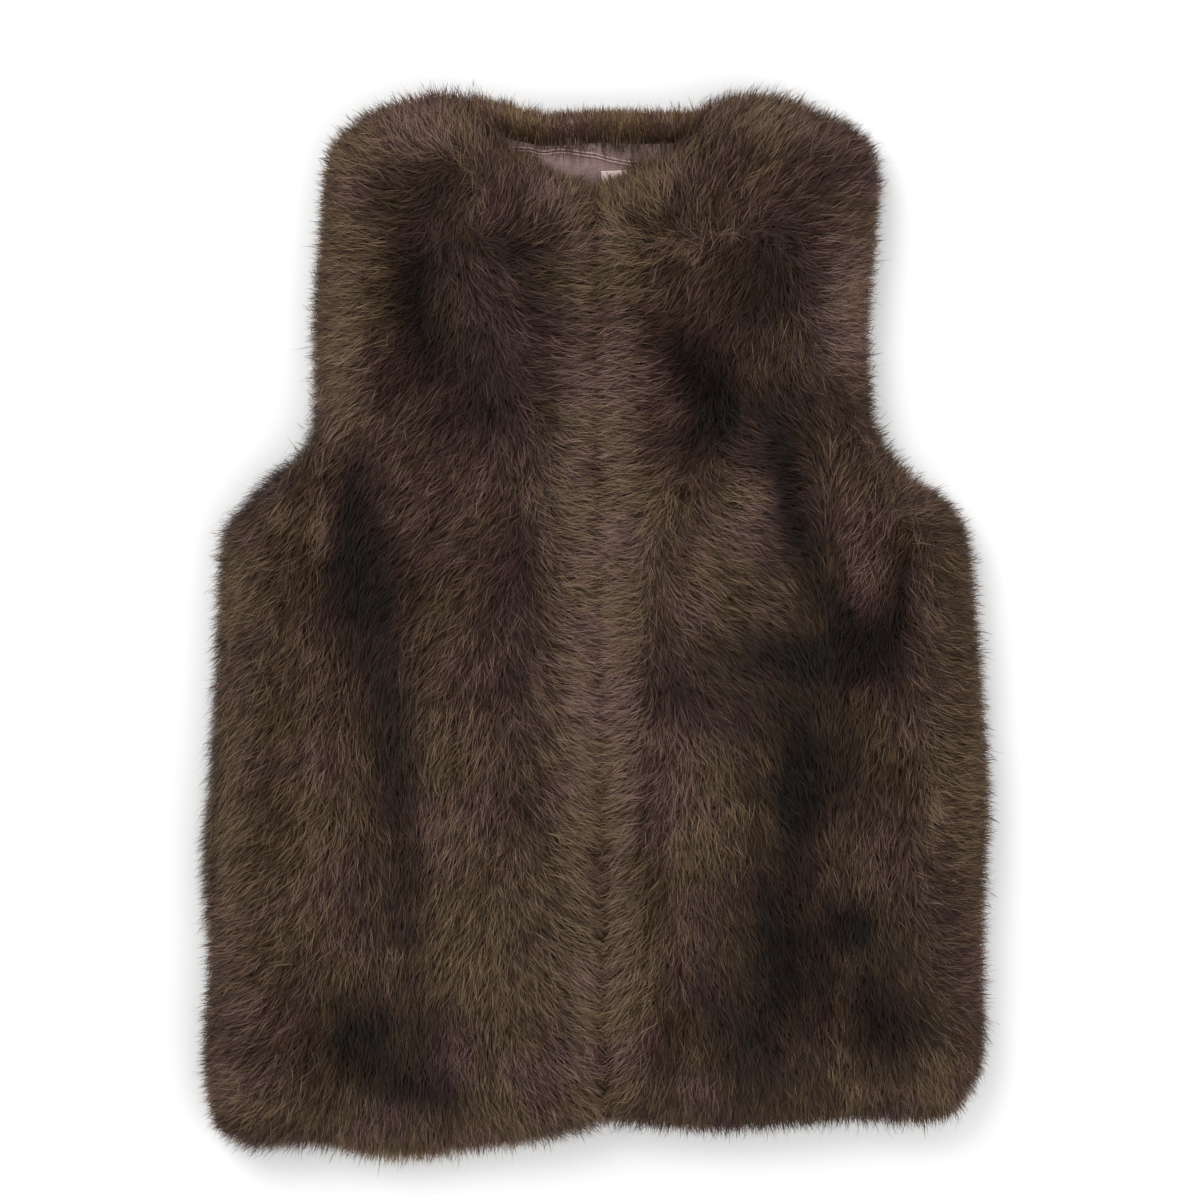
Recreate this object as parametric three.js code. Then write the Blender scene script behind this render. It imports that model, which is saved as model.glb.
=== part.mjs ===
// A faux fur vest laid flat on its back. Two fur fronts meet edge to edge over a fur back,
// whose satin lining, neck facing and sewn-in label show in the neck opening.
// Millimetres. +X is to the viewer's right, +Y runs from hem to neck, +Z is up, the floor is z = 0.
// Each fur panel is as thick as its pile, so the solids end where the tips of the hairs do.
// Right and left in a piece's name are the wearer's.

import * as THREE from 'three';
import { mergeVertices } from 'three/addons/utils/BufferGeometryUtils.js';

// Driving sizes
const SEAM_GAP = 0.3; // pieces stand this far apart
const SATIN = 1; // the lining with its turned edge
const LABEL_THICKNESS = 0.3;
const BACK_PILE = 16; // the back's pile, pressed by the vest's own weight
const FRONT_PILE = 28; // the fronts' pile, standing free
const CENTRE_GAP = 1; // between the two fronts
const CENTRE_TOP_X = -1.5; // the meeting line leans a little from neck to hem
const CENTRE_HEM_X = 4.5;

// Heights of the layers above the floor
const LINING_Z = BACK_PILE + SEAM_GAP;
const LABEL_Z = LINING_Z + SATIN + SEAM_GAP;
const SEAM_Z = LABEL_Z + LABEL_THICKNESS; // where the back's seam allowance ends
const FRONT_Z = SEAM_Z + SEAM_GAP;

// The hem from the wearer's right to left: how low the back reaches, and how much higher the front's hem is
const HEM = [
  { across: -229, back: -298, frontRise: 0 },
  { across: -212, back: -309, frontRise: 1 },
  { across: -168, back: -310, frontRise: 3 },
  { across: -140, back: -319, frontRise: 12 },
  { across: -106, back: -320, frontRise: 12 },
  { across: -68, back: -314, frontRise: 9 },
  { across: -34, back: -309, frontRise: 5 },
  { across: 4, back: -297, frontRise: 1 },
  { across: 26, back: -296, frontRise: 1 },
  { across: 62, back: -301, frontRise: 3 },
  { across: 110, back: -298, frontRise: 2 },
  { across: 158, back: -294, frontRise: 2 },
  { across: 200, back: -295, frontRise: 1 },
  { across: 219, back: -287, frontRise: 0 },
];

// Side seams, underarms and armholes: how far out each edge is at each level
const SIDES = [
  { level: -262, right: -235.5, left: 232 },
  { level: -200, right: -233, left: 233 },
  { level: -140, right: -236.5, left: 235 },
  { level: -104, right: -233.5, left: 236.5 },
  { level: -44, right: -229.5, left: 232.5 },
  { level: 16, right: -227.5, left: 228 },
  { level: 52, right: -226.5, left: 225 },
  { level: 66, right: -219, left: 220.5 },
  { level: 78, right: -207, left: 210 },
  { level: 89, right: -198, left: 191 },
  { level: 101, right: -180, left: 181 },
  { level: 114, right: -173.5, left: 170 },
  { level: 137, right: -171.5, left: 166 },
  { level: 185, right: -171.5, left: 164.5 },
  { level: 232, right: -168, left: 168.5 },
  { level: 268, right: -165.5, left: 171 },
];

// Shoulders and the back of the neck, from the wearer's right to left
const TOP = [
  { across: -161, height: 288 },
  { across: -142, height: 305.5 },
  { across: -118, height: 314.5 },
  { across: -94, height: 320 },
  { across: -64, height: 318 },
  { across: -34, height: 309 },
  { across: 0, height: 311 },
  { across: 32, height: 310 },
  { across: 62, height: 312 },
  { across: 88, height: 319 },
  { across: 112, height: 318 },
  { across: 134, height: 308 },
  { across: 156, height: 298.5 },
  { across: 167, height: 286 },
];

// The fronts' neck edges, from the meeting line up to the shoulder seams
const NECKLINE = [
  { right: -14, rightLevel: 268, left: 8, leftLevel: 268 },
  { right: -24, rightLevel: 271, left: 15, leftLevel: 272.5 },
  { right: -31, rightLevel: 278, left: 18, leftLevel: 279 },
  { right: -41, rightLevel: 286, left: 25, leftLevel: 285 },
  { right: -53, rightLevel: 296, left: 42, leftLevel: 290 },
  { right: -61.5, rightLevel: 307, left: 56, leftLevel: 299 },
  { right: -69, rightLevel: 315.5, left: 69, leftLevel: 314.5 },
];
const NECK_POINT_Y = 266; // where the fronts' neck edges meet
const SHOULDER_X = 80; // the shoulder seams start this far from the middle

// The largest folds of the fronts: a hollow from one place through another to a third, wide each way of
// its line and deep at its middle. A depth under 0 is a ridge.
const FOLDS = [
  { fromX: -160, fromY: 92, viaX: -160, viaY: -10, toX: -127, toY: -80, width: 13, depth: 9 },
  { fromX: -127, fromY: -80, viaX: -110, viaY: -165, toX: -160, toY: -262, width: 18, depth: 9 },
  { fromX: -180, fromY: -226, viaX: -150, viaY: -252, toX: -112, toY: -268, width: 17, depth: 6 },
  { fromX: -108, fromY: 232, viaX: -116, viaY: 196, toX: -98, toY: 148, width: 20, depth: 5 },
  { fromX: -174, fromY: 84, viaX: -170, viaY: 60, toX: -172, toY: 38, width: 10, depth: -4 },
  { fromX: 122, fromY: 128, viaX: 126, viaY: 30, toX: 116, toY: -44, width: 12, depth: 8 },
  { fromX: 116, fromY: -44, viaX: 150, viaY: -120, toX: 138, toY: -226, width: 16, depth: 9 },
  { fromX: 34, fromY: 172, viaX: 72, viaY: 164, toX: 108, toY: 132, width: 17, depth: 6 },
  { fromX: 182, fromY: 82, viaX: 190, viaY: 36, toX: 178, toY: -10, width: 10, depth: 8 },
  { fromX: 152, fromY: 84, viaX: 156, viaY: 44, toX: 168, toY: 4, width: 14, depth: -4 },
  { fromX: 128, fromY: -206, viaX: 158, viaY: -226, toX: 188, toY: -232, width: 18, depth: 6 },
  { fromX: 52, fromY: 36, viaX: 80, viaY: 62, toX: 108, toY: 66, width: 18, depth: -3 },
];

// How the fronts round away
const EDGE_WALL = 2; // upright part of a front's edge
const EDGE_RADIUS = 30; // pile rolling over sides, armholes, shoulders, hem and neck
const CENTRE_RADIUS = 16; // pile rolling down to the meeting line
const CENTRE_HEIGHT = 0.66; // share of the pile that is left at the meeting line

// The back's wall from the floor outwards and up, then in over the seam allowance to the lining.
// Round the neck the pile stands up behind the opening as a rim.
const BACK_WALL = [
  { inset: 15, height: 0, rimInset: 15, rimHeight: 0 },
  { inset: 7, height: 2.5, rimInset: 7, rimHeight: 2.5 },
  { inset: 2, height: 7, rimInset: 2, rimHeight: 7 },
  { inset: 0, height: 13, rimInset: 0, rimHeight: 14 },
  { inset: 0, height: SEAM_Z, rimInset: 2, rimHeight: 22 },
  { inset: 4, height: SEAM_Z, rimInset: 7, rimHeight: 28 },
  { inset: 8, height: SEAM_Z, rimInset: 13, rimHeight: 28 },
  { inset: 11, height: SEAM_Z, rimInset: 19, rimHeight: 21 },
  { inset: 11.5, height: BACK_PILE, rimInset: 20, rimHeight: BACK_PILE },
];
const RIM_HALF_WIDTH = 49; // the rim reaches this far each way of the middle
const RIM_FADE = 16; // and fades out over this much
const RIM_MIN_Y = 250; // nothing lower is part of the neck

// Neck facing and label
const FACING_HALF_LENGTH = 74;
const FACING_WIDTH = 9;
const LABEL_LENGTH = 42;
const LABEL_WIDTH = 16;
const LABEL_CORNER = { x: 2.5, y: 273.5 }; // its upper corner nearest the meeting line
const LABEL_TILT = 0.05; // radians

// Mesh steps
const OUTLINE_STEPS = 140;
const ACROSS_STEPS = 20;
const UP_STEPS = 40;
const FOLD_STEPS = 12;

const point = (x, y) => new THREE.Vector3(x, y, 0);

function smoothCurve(points, closed = false) {
  return new THREE.CatmullRomCurve3(points, closed, 'centripetal');
}

function backOutline() {
  const hem = HEM.map((row) => point(row.across, row.back));
  const leftSide = SIDES.map((row) => point(row.left, row.level));
  const top = TOP.map((row) => point(row.across, row.height)).reverse();
  const rightSide = SIDES.map((row) => point(row.right, row.level)).reverse();
  const around = smoothCurve([...hem, ...leftSide, ...top, ...rightSide], true);
  return around.getSpacedPoints(OUTLINE_STEPS).slice(0, OUTLINE_STEPS);
}

// Moves each point of an anticlockwise outline inwards by what insetOf says for it.
function insetOutline(outline, insetOf) {
  return outline.map((here, i) => {
    const before = outline[(i + outline.length - 1) % outline.length];
    const after = outline[(i + 1) % outline.length];
    const along = after.clone().sub(before).normalize();
    const inwards = point(-along.y, along.x);
    return here.clone().addScaledVector(inwards, insetOf(here));
  });
}

// 1 in the middle of the back neck, 0 beyond its ends and everywhere else
function rimShare(place) {
  if (place.y < RIM_MIN_Y) return 0;
  const toEnd = RIM_HALF_WIDTH - Math.abs(place.x);
  return THREE.MathUtils.smoothstep(toEnd, 0, RIM_FADE);
}

// A closed mesh from rings of equal length, with a flat cap on the first (facing down) and the last.
function meshFromRings(rings) {
  const count = rings[0].length;
  const positions = rings.flat().flatMap((p) => [p.x, p.y, p.z]);
  const faces = [];
  for (let r = 0; r + 1 < rings.length; r += 1) {
    for (let i = 0; i < count; i += 1) {
      const next = (i + 1) % count;
      const low = r * count;
      const high = low + count;
      faces.push(low + i, low + next, high + next, low + i, high + next, high + i);
    }
  }
  const flat = (ring) => ring.map((p) => new THREE.Vector2(p.x, p.y));
  const lastStart = (rings.length - 1) * count;
  for (const [a, b, c] of THREE.ShapeUtils.triangulateShape(flat(rings[0]), [])) faces.push(a, c, b);
  for (const [a, b, c] of THREE.ShapeUtils.triangulateShape(flat(rings.at(-1)), [])) {
    faces.push(lastStart + a, lastStart + b, lastStart + c);
  }
  return closedGeometry(positions, faces);
}

function closedGeometry(positions, faces) {
  const geometry = new THREE.BufferGeometry();
  geometry.setAttribute('position', new THREE.Float32BufferAttribute(positions, 3));
  geometry.setIndex(faces);
  const merged = mergeVertices(geometry, 1e-4);
  merged.computeVertexNormals();
  return merged;
}

// A flat sheet with upright edges
function sheet(outline, bottom, thickness) {
  const atHeight = (z) => outline.map((p) => new THREE.Vector3(p.x, p.y, z));
  return meshFromRings([atHeight(bottom), atHeight(bottom + thickness)]);
}

function backGeometry(outline) {
  const mix = THREE.MathUtils.lerp;
  const rings = BACK_WALL.map((row) => {
    const ring = insetOutline(outline, (p) => mix(row.inset, row.rimInset, rimShare(p)));
    return ring.map((p, i) => p.setZ(mix(row.height, row.rimHeight, rimShare(outline[i]))));
  });
  return meshFromRings(rings);
}

// The foot of the neck rim, as points from the wearer's left to right between two places
function neckFoot(outline, halfLength, below) {
  const last = BACK_WALL.at(-1);
  const foot = insetOutline(outline, () => last.rimInset + SEAM_GAP + below);
  const neck = foot.filter((p) => p.y > RIM_MIN_Y && Math.abs(p.x) < halfLength - 2);
  const end = (p, x) => point(x, p.y);
  return [end(neck[0], halfLength), ...neck, end(neck.at(-1), -halfLength)];
}

function facingOutline(outline) {
  const upper = neckFoot(outline, FACING_HALF_LENGTH, 0);
  const lower = neckFoot(outline, FACING_HALF_LENGTH, FACING_WIDTH).reverse();
  return [...upper, ...lower];
}

// Where the line from a to b passes x
function crossing(a, b, x) {
  return a.clone().lerp(b, (x - a.x) / (b.x - a.x));
}

// The lining fills the back inside its seam allowance and stops at the facing.
function liningOutline(outline) {
  const last = BACK_WALL.at(-1);
  const inside = insetOutline(outline, () => last.inset + SEAM_GAP);
  const halfLength = FACING_HALF_LENGTH + SEAM_GAP;
  const isNeck = (p) => p.y > RIM_MIN_Y && Math.abs(p.x) <= halfLength;
  const firstNeck = inside.findIndex(isNeck);
  const afterNeck = firstNeck + inside.filter(isNeck).length;
  return [
    ...inside.slice(0, firstNeck),
    crossing(inside[firstNeck - 1], inside[firstNeck], halfLength),
    ...neckFoot(outline, halfLength, FACING_WIDTH + SEAM_GAP),
    crossing(inside[afterNeck - 1], inside[afterNeck], -halfLength),
    ...inside.slice(afterNeck),
  ];
}

function labelOutline() {
  const along = point(Math.cos(LABEL_TILT), Math.sin(LABEL_TILT));
  const down = point(along.y, -along.x);
  const corner = point(LABEL_CORNER.x, LABEL_CORNER.y);
  const at = (a, d) => corner.clone().addScaledVector(along, a).addScaledVector(down, d);
  return [at(0, 0), at(0, LABEL_WIDTH), at(LABEL_LENGTH, LABEL_WIDTH), at(LABEL_LENGTH, 0)];
}

// The four edges of one front. side is 'right' or 'left'; towards is -1 or 1, its way from the middle.
function frontEdges(side, towards) {
  const outwards = (a, b) => towards * (a.across - b.across);
  const mine = (row) => towards * row.across > 0;
  const halfGap = (towards * CENTRE_GAP) / 2;
  const hem = HEM.filter((row) => mine(row) && Math.abs(row.across) > 10).sort(outwards);
  const hemPoints = hem.map((row) => point(row.across, row.back + row.frontRise));
  const middleHem = HEM.find((row) => Math.abs(row.across) <= 10);
  const hemCentre = point(CENTRE_HEM_X + halfGap, middleHem.back + middleHem.frontRise);
  const shoulder = TOP.filter((row) => mine(row) && Math.abs(row.across) > SHOULDER_X).sort(outwards);
  const shoulderPoints = shoulder.map((row) => point(row.across, row.height));
  const neckPoints = NECKLINE.map((row) => point(row[side], row[`${side}Level`]));
  const neckCentre = point(CENTRE_TOP_X + halfGap, NECK_POINT_Y);
  const sidePoints = SIDES.map((row) => point(row[side], row.level));
  return {
    hem: smoothCurve([hemCentre, ...hemPoints]),
    top: smoothCurve([neckCentre, ...neckPoints, ...shoulderPoints]),
    centre: smoothCurve([hemCentre, neckCentre]),
    outer: smoothCurve([hemPoints.at(-1), ...sidePoints, shoulderPoints.at(-1)]),
  };
}

// Steps from 0 to 1 that lie close together at both ends, where the pile rounds away
const closeAtEnds = (i, steps) => (1 - Math.cos((Math.PI * i) / steps)) / 2;

// Fills the patch between four edges: each place is worked out from the edges beside and above it.
function patchPoint(edges, u, v) {
  const across = edges.hem.getPointAt(u).multiplyScalar(1 - v);
  across.addScaledVector(edges.top.getPointAt(u), v);
  const up = edges.centre.getPointAt(v).multiplyScalar(1 - u);
  up.addScaledVector(edges.outer.getPointAt(v), u);
  const corners = edges.centre.getPointAt(0).multiplyScalar((1 - u) * (1 - v));
  corners.addScaledVector(edges.outer.getPointAt(0), u * (1 - v));
  corners.addScaledVector(edges.centre.getPointAt(1), (1 - u) * v);
  corners.addScaledVector(edges.outer.getPointAt(1), u * v);
  return across.add(up).sub(corners);
}

function distanceTo(path, place) {
  const nearest = new THREE.Vector3();
  const span = new THREE.Line3();
  let least = Infinity;
  for (let i = 0; i + 1 < path.length; i += 1) {
    span.set(path[i], path[i + 1]).closestPointToPoint(place, true, nearest);
    least = Math.min(least, nearest.distanceTo(place));
  }
  return least;
}

const FOLD_LINES = FOLDS.map((fold) => {
  const line = new THREE.QuadraticBezierCurve3(
    point(fold.fromX, fold.fromY),
    point(fold.viaX, fold.viaY),
    point(fold.toX, fold.toY),
  );
  return { path: line.getPoints(FOLD_STEPS), width: fold.width, depth: fold.depth };
});

const quarterRound = (share) => Math.sqrt(1 - (1 - Math.min(share, 1)) ** 2);

// How thick the front's pile is at a place
function pileHeight(place, rim, centre) {
  const rolled = quarterRound(distanceTo(rim, place) / EDGE_RADIUS);
  const towardsCentre = quarterRound(distanceTo(centre, place) / CENTRE_RADIUS);
  const parted = THREE.MathUtils.lerp(CENTRE_HEIGHT, 1, towardsCentre);
  const depths = FOLD_LINES.map((fold) => {
    return fold.depth * Math.exp(-((distanceTo(fold.path, place) / fold.width) ** 2));
  });
  const height = FRONT_PILE - Math.max(...depths, 0) - Math.min(...depths, 0);
  return EDGE_WALL + (height - EDGE_WALL) * rolled * parted;
}

function frontGeometry(side, towards) {
  const edges = frontEdges(side, towards);
  const grid = [];
  for (let j = 0; j <= UP_STEPS; j += 1) {
    const v = closeAtEnds(j, UP_STEPS);
    const row = [];
    for (let i = 0; i <= ACROSS_STEPS; i += 1) row.push(patchPoint(edges, closeAtEnds(i, ACROSS_STEPS), v));
    grid.push(row);
  }
  const hemRow = grid[0];
  const topRow = grid[UP_STEPS];
  const outerColumn = grid.map((row) => row[ACROSS_STEPS]);
  const centreColumn = grid.map((row) => row[0]);
  const rim = [...hemRow, ...outerColumn, ...topRow.slice().reverse()];
  const top = grid.flat().map((p) => p.clone().setZ(FRONT_Z + pileHeight(p, rim, centreColumn)));

  const boundary = [
    ...hemRow.slice(0, -1),
    ...outerColumn.slice(0, -1),
    ...topRow.slice(1).reverse(),
    ...centreColumn.slice(1).reverse(),
  ];
  const width = ACROSS_STEPS + 1;
  const boundaryIndex = [];
  for (let i = 0; i < ACROSS_STEPS; i += 1) boundaryIndex.push(i);
  for (let j = 0; j < UP_STEPS; j += 1) boundaryIndex.push(j * width + ACROSS_STEPS);
  for (let i = ACROSS_STEPS; i > 0; i -= 1) boundaryIndex.push(UP_STEPS * width + i);
  for (let j = UP_STEPS; j > 0; j -= 1) boundaryIndex.push(j * width);

  const under = boundary.map((p) => p.clone().setZ(FRONT_Z));
  const positions = [...top, ...under].flatMap((p) => [p.x, p.y, p.z]);
  const faces = [];
  const face = (a, b, c) => (towards > 0 ? faces.push(a, b, c) : faces.push(a, c, b));
  for (let j = 0; j < UP_STEPS; j += 1) {
    for (let i = 0; i < ACROSS_STEPS; i += 1) {
      const here = j * width + i;
      face(here, here + 1, here + width + 1);
      face(here, here + width + 1, here + width);
    }
  }
  boundary.forEach((_, i) => {
    const next = (i + 1) % boundary.length;
    const low = top.length;
    face(low + i, low + next, boundaryIndex[next]);
    face(low + i, boundaryIndex[next], boundaryIndex[i]);
  });
  const flat = under.map((p) => new THREE.Vector2(p.x, p.y));
  for (const [a, b, c] of THREE.ShapeUtils.triangulateShape(flat, [])) {
    faces.push(top.length + a, top.length + c, top.length + b);
  }
  return closedGeometry(positions, faces);
}

const fur = new THREE.MeshStandardMaterial({ color: 0x44372e, roughness: 0.85, metalness: 0 });
const palerFur = new THREE.MeshStandardMaterial({ color: 0x4c3f34, roughness: 0.85, metalness: 0 });
const satin = new THREE.MeshStandardMaterial({ color: 0x6a5657, roughness: 0.45, metalness: 0 });
const woven = new THREE.MeshStandardMaterial({ color: 0xd8c4ba, roughness: 0.6, metalness: 0 });

function piece(name, geometry, material) {
  const mesh = new THREE.Mesh(geometry, material);
  mesh.name = name;
  return mesh;
}

const outline = backOutline();
const vest = new THREE.Group();
vest.add(
  piece('back', backGeometry(outline), fur),
  piece('lining_back', sheet(liningOutline(outline), LINING_Z, SATIN), satin),
  piece('neck_facing', sheet(facingOutline(outline), LINING_Z, SATIN), satin),
  piece('label', sheet(labelOutline(), LABEL_Z, LABEL_THICKNESS), woven),
  piece('front_right', frontGeometry('right', -1), palerFur),
  piece('front_left', frontGeometry('left', 1), palerFur),
);

// The origin is under the middle of the vest's box, on the floor.
const middle = new THREE.Box3().setFromObject(vest).getCenter(new THREE.Vector3());
vest.position.set(-middle.x, -middle.y, 0);
vest.updateMatrixWorld(true);

export default vest;
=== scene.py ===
"""A faux fur vest laid flat on its back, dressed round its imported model.

Long modacrylic pile stands on thin underfur shells in the place of the fur panels. Round the neck
show the satin lining and facing, the piping between them and a sewn-in label. All lengths are metres.
"""
import math

import bmesh
import bpy
import numpy as np
from bpy.props import FloatProperty, FloatVectorProperty, IntProperty, PointerProperty
from mathutils import Matrix, Vector, noise
from mathutils.kdtree import KDTree


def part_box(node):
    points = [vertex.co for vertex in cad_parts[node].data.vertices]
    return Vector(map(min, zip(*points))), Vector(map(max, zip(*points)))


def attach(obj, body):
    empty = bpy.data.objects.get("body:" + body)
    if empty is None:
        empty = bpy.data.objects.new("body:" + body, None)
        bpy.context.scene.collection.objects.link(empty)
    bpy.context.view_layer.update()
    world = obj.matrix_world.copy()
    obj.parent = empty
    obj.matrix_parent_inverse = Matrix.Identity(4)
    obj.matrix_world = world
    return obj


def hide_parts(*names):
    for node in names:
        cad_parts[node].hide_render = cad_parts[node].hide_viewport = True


bl_info = {
    "name": "Faux fur vest",
    "version": (1, 0, 0),
    "blender": (4, 5, 0),
    "location": "3D View > Sidebar > Vest",
    "description": "Builds the fur, lining and label of a vest that lies flat",
    "category": "Add Mesh",
}

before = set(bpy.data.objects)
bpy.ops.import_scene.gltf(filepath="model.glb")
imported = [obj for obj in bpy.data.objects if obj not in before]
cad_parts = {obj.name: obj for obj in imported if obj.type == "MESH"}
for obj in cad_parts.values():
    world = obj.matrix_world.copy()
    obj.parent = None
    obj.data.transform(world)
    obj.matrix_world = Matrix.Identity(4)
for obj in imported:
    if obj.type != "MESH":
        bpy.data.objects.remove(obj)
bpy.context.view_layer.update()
MM = 0.001

# The lie of the pile. Each row is a level above the vest's middle. It gives, for stations across the
# wearer's right front and then the left front, the way that the hairs point, in degrees: 0 is to the
# viewer's right, 90 is to the neck and 270 is to the hem.
RIGHT_STATIONS = (-225, -180, -150, -125, -95, -58, -30, -8)
LEFT_STATIONS = (10, 35, 60, 88, 118, 150, 183, 225)
COMBING = (
    (305, (150, 150, 145, 130, 100, 90, 90, 90), (90, 90, 80, 62, 48, 40, 30, 25)),
    (262, (175, 172, 168, 172, 235, 80, 75, 60), (110, 115, 75, 60, 42, 25, 18, 15)),
    (205, (180, 180, 180, 195, 255, 312, 352, 0), (205, 226, 240, 242, 290, 12, 12, 12)),
    (150, (200, 200, 205, 232, 240, 275, 350, 358), (182, 200, 250, 262, 268, 340, 15, 15)),
    (95, (185, 250, 235, 230, 228, 262, 300, 352), (180, 215, 235, 350, 2, 235, 60, 30)),
    (40, (205, 240, 262, 228, 220, 232, 300, 357), (180, 270, 335, 338, 338, 235, 250, 355)),
    (-20, (215, 245, 265, 232, 236, 270, 312, 345), (190, 280, 315, 325, 310, 245, 290, 352)),
    (-100, (238, 230, 262, 288, 252, 262, 308, 330), (205, 248, 276, 290, 290, 262, 255, 0)),
    (-200, (200, 245, 265, 275, 245, 258, 305, 322), (218, 252, 280, 286, 275, 272, 285, 5)),
    (-295, (205, 245, 262, 270, 268, 290, 308, 322), (232, 258, 272, 278, 278, 268, 280, 292)),
)

# Soft patches of darker and paler pile, partly the pile's own tone and partly painted shade in its hollows
# and
# painted highlight on its swells, in mm: where, half their width and height, how far they turn anticlockwise
# in degrees, and how much they lighten (or darken, under 0).
PATCHES = (
    # The meeting line, where the pale tips of both fronts lie on each other, with painted shade in two small
    # gaps
    (3, 130, 17, 60, 0, 0.17),
    (3, 25, 20, 120, 0, 0.38),
    (3, -110, 20, 90, 0, 0.28),
    (3, -235, 20, 55, 0, 0.28),
    (1, 90, 4, 8, 0, -0.35),
    (0, -139, 4, 8, 0, -0.30),
    # Neck edges, shoulders, armholes, sides and hem
    (-30, 268, 34, 12, -46, 0.24),
    (28, 268, 34, 12, 46, 0.24),
    (2, 240, 12, 22, 0, 0.20),
    (-98, 300, 40, 14, 12, 0.32),
    (96, 306, 36, 10, -12, 0.24),
    (0, 316, 60, 8, 0, 0.12),
    (-156, 160, 12, 60, 0, 0.24),
    (-150, 250, 12, 50, 8, 0.14),
    (155, 196, 14, 46, 0, 0.28),
    (-208, -284, 24, 14, -30, 0.16),
    (-34, -298, 30, 8, 8, 0.14),
    (153, -282, 12, 14, 0, 0.14),
    (206, -276, 16, 16, 0, 0.12),
    (-222, -60, 8, 200, 0, 0.15),
    (228, -60, 8, 200, 0, 0.08),
    (-118, -304, 100, 10, 3, 0.12),
    # Painted shade, over darker pile, in the hollows of the wearer's right front
    (-113, 203, 14, 30, 0, -0.28),
    (-96, 258, 14, 18, 0, -0.18),
    (-52, 222, 24, 14, 0, -0.16),
    (-76, 140, 40, 30, 0, -0.18),
    (-70, 192, 46, 46, 0, -0.13),
    (-44, 262, 10, 12, 0, -0.10),
    (-106, 162, 14, 20, 0, -0.10),
    (-147, 82, 12, 22, 0, -0.28),
    (-143, 26, 19, 36, 6, -0.50),
    (-126, -46, 15, 40, 19, -0.20),
    (-117, -112, 13, 50, 3, -0.20),
    (-113, -180, 12, 40, 0, -0.12),
    (-140, -250, 30, 20, 0, -0.30),
    (-115, -280, 26, 16, -10, -0.30),
    (-84, -288, 20, 12, 0, -0.14),
    (-48, 28, 14, 22, 0, -0.16),
    (-47, -38, 12, 14, 0, -0.14),
    (-56, -118, 16, 18, 0, -0.08),
    # Painted shade, over darker pile, in the hollows of the wearer's left front
    (54, 151, 36, 14, -45, -0.34),
    (74, 124, 26, 24, 0, -0.16),
    (38, 243, 12, 8, 0, -0.16),
    (86, 212, 24, 30, 0, -0.12),
    (56, 106, 24, 14, 0, -0.12),
    (138, 132, 24, 14, 0, -0.12),
    (112, 104, 12, 34, 6, -0.30),
    (124, 55, 9, 36, 14, -0.28),
    (142, 8, 10, 30, 26, -0.24),
    (154, -22, 28, 18, 10, -0.46),
    (112, -18, 34, 16, 0, -0.26),
    (139, -85, 38, 44, 0, -0.22),
    (104, -215, 36, 46, 0, -0.13),
    (95, 180, 36, 50, 0, -0.10),
    (128, 240, 26, 36, 0, -0.08),
    (180, 14, 8, 30, 0, -0.24),
    (48, -50, 26, 20, 0, -0.14),
    (84, -42, 30, 22, 0, -0.12),
    (121, -105, 11, 45, -3, -0.26),
    (108, -190, 22, 50, 6, -0.26),
    (149, -182, 18, 14, 0, -0.34),
    (168, -235, 34, 36, 0, -0.24),
    (90, -255, 22, 26, 0, -0.20),
    (46, -245, 22, 26, 0, -0.12),
    # Swells where the light catches the pile
    (42, 224, 24, 7, -34, 0.18),
    (99, 70, 12, 26, -10, 0.24),
    (79, 40, 16, 12, -35, 0.24),
    (70, 8, 14, 26, 8, 0.16),
    (40, 62, 22, 10, 0, 0.10),
    (152, 62, 16, 22, 0, 0.06),
    (156, 22, 14, 14, 20, 0.18),
    (203, -113, 9, 18, 0, 0.26),
    (184, -90, 26, 50, 0, 0.06),
    (62, -125, 28, 56, 0, 0.17),
    (146, -232, 7, 30, -8, 0.14),
    (-167, 50, 6, 22, 0, 0.34),
    (-172, -96, 16, 40, 0, 0.14),
    (-172, -162, 18, 36, 0, 0.16),
    (-98, -40, 16, 60, 0, 0.08),
    (-78, -150, 24, 70, 0, 0.13),
    (-50, -230, 40, 60, 0, 0.10),
)

# Patches, in the same columns, where the pile is more mauve (over 0) or more umber (under 0).
MAUVE_PATCHES = (
    (-70, 170, 60, 100, 0, 0.7),
    (54, 151, 36, 20, -45, 0.9),
    (130, 220, 36, 60, 0, 0.6),
    (150, 55, 22, 34, 0, 0.8),
    (156, -25, 24, 24, 0, 0.8),
    (55, -50, 34, 44, 0, 0.7),
    (-143, 22, 14, 36, 0, 0.8),
    (-50, 0, 24, 60, 0, 0.7),
    (-110, -180, 16, 50, 0, 0.6),
    (-92, -260, 20, 30, 0, 0.5),
    (165, -140, 30, 30, 0, 0.6),
    (0, -10, 10, 30, 0, 0.6),
    (-140, -255, 30, 20, 0, -0.7),
    (115, -60, 30, 60, 0, -0.6),
    (-70, -200, 40, 60, 0, -0.6),
    (-200, -120, 20, 90, 0, -0.4),
)

# Soft ridges in the satin at the neck, in mm: from, to, how wide and how high.
CREASES = (
    (-39, 285, -27, 273, 2.6, 1.1),
    (-31, 285, -20, 270, 1.8, 1.0),
    (-22, 284, -13, 269, 1.8, 1.3),
    (-14, 283, -6, 269, 1.5, 1.4),
    (-7, 281, -1, 270, 1.4, 1.4),
    (8, 281, 20, 279, 1.6, 0.7),
    (-62, 287, -46, 268, 3.5, 0.6),
    (-26, 262, -6, 244, 3.0, 0.5),
    (-36, 293, -30, 288, 1.3, 0.8),
    (-22, 292, -14, 287, 1.3, 0.9),
    (-4, 290, 4, 284, 1.4, 1.0),
    (12, 288, 22, 282, 1.5, 0.7),
)

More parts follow.
